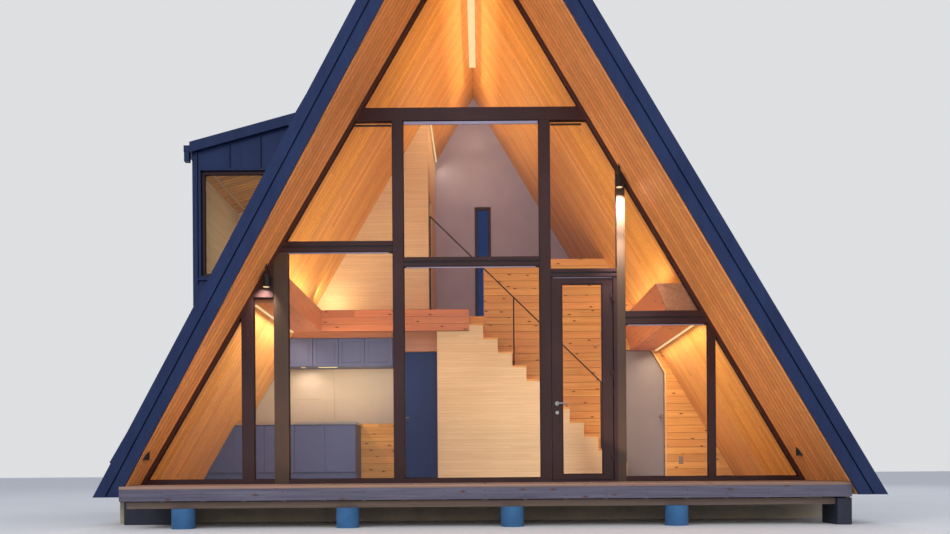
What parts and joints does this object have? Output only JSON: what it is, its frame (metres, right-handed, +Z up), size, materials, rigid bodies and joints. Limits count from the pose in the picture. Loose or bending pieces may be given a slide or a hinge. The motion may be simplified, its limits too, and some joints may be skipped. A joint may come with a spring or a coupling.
{
  "type": "a-frame cabin",
  "caption": "Steep A-frame timber cabin with navy metal roof slopes, a glazed front gable, porch deck, hinged glass door, inner loft with stair, and a side dormer.",
  "frame": {"origin": "centre of the footprint's bounding box, on the ground under the ridge", "axes": "+X to the right seen from the front, +Y towards the back along the ridge, +Z up"},
  "size_m": [9.1132, 7.28, 8.0881],
  "materials": {
    "navy_metal": "satin, standing seams",
    "soffit_timber": "clear finished narrow boards",
    "knotty_timber": "clear finished knotty boards",
    "pale_timber": "pale plywood",
    "floor_timber": "satin boards",
    "deck_timber": "weathered, matte",
    "bronze_frame": "dark anodised, satin",
    "clear_glass": "clear double glazing",
    "concrete": "cast, matte",
    "pier_concrete": "cast, matte",
    "dark_block": "dark coated, matte",
    "plaster": "smooth plaster",
    "navy_leaf": "satin paint",
    "grey_leaf": "satin paint",
    "cabinet_grey": "satin laminate",
    "worktop_steel": "brushed",
    "steel_hardware": "brushed",
    "black_steel": "matte black",
    "lamp_black": "matte black",
    "light_lens": "opal diffuser"
  },
  "bodies": {
    "cabin": {"foundation": "concrete", "corner_blocks": "dark_block", "floor": "floor_timber", "deck_piers": "pier_concrete", "deck_bearers": "deck_timber", "deck_joists": "deck_timber", "deck_boards": "deck_timber", "deck_fascia": "deck_timber", "left_roof": "navy_metal", "right_roof": "navy_metal", "left_ceiling": "soffit_timber", "right_ceiling": "soffit_timber", "left_fascia": "navy_metal", "right_fascia": "navy_metal", "ridge_cap": "navy_metal", "slope_frames": "bronze_frame", "top_beam": "bronze_frame", "mullions": "bronze_frame", "side_posts": "bronze_frame", "transoms": "bronze_frame", "sills": "bronze_frame", "door_frame": "bronze_frame", "glass_panes": "clear_glass", "partition_walls": "knotty_timber", "partition_heads": "knotty_timber", "inner_hinge_plates": "steel_hardware", "loft_floor": "knotty_timber", "loft_edge_beam": "knotty_timber", "side_beams": "knotty_timber", "upper_wall": "pale_timber", "upper_door": "navy_leaf", "stair_side_wall": "pale_timber", "stair_end_wall": "pale_timber", "stair_treads": "knotty_timber", "stair_risers": "knotty_timber", "handrail": "black_steel", "kitchen_cabinets": "cabinet_grey", "worktop": "worktop_steel", "back_wall": "plaster", "window_frames": "bronze_frame", "dormer_end_walls": "navy_metal", "dormer_side_wall": "navy_metal", "dormer_roof": "navy_metal", "dormer_floor": "knotty_timber", "dormer_gutter": "navy_metal", "ridge_light": "light_lens", "porch_spots": "lamp_black", "foot_lights": "lamp_black"},
    "front_door": {"front_door": "bronze_frame", "front_door_glass": "clear_glass", "front_door_roses": "steel_hardware"},
    "front_door_lever": {"front_door_lever": "steel_hardware"},
    "navy_door": {"navy_door": "navy_leaf", "navy_door_handle": "steel_hardware"},
    "grey_door": {"grey_door": "grey_leaf", "grey_door_knob": "steel_hardware"}
  },
  "joints": [
    {"name": "front_door_hinge", "type": "hinge", "parent": "cabin", "child": "front_door", "pos_m": [1.748, -2.277, 1.5], "axis": [0, 0, 1], "range_deg": [0, 90]},
    {"name": "front_door_lever_turn", "type": "hinge", "parent": "front_door", "child": "front_door_lever", "pos_m": [1.048, -2.233, 1.443], "axis": [0, 1, 0], "range_deg": [0, 45], "stiffness_Nm_per_rad": 1.5, "springref_deg": -22.92},
    {"name": "navy_door_hinge", "type": "hinge", "parent": "cabin", "child": "navy_door", "pos_m": [-0.56, 0.937, 1.5], "axis": [0, 0, -1], "range_deg": [0, 90]},
    {"name": "grey_door_hinge", "type": "hinge", "parent": "cabin", "child": "grey_door", "pos_m": [2.365, 0.937, 1.5], "axis": [0, 0, 1], "range_deg": [0, 90]}
  ]
}
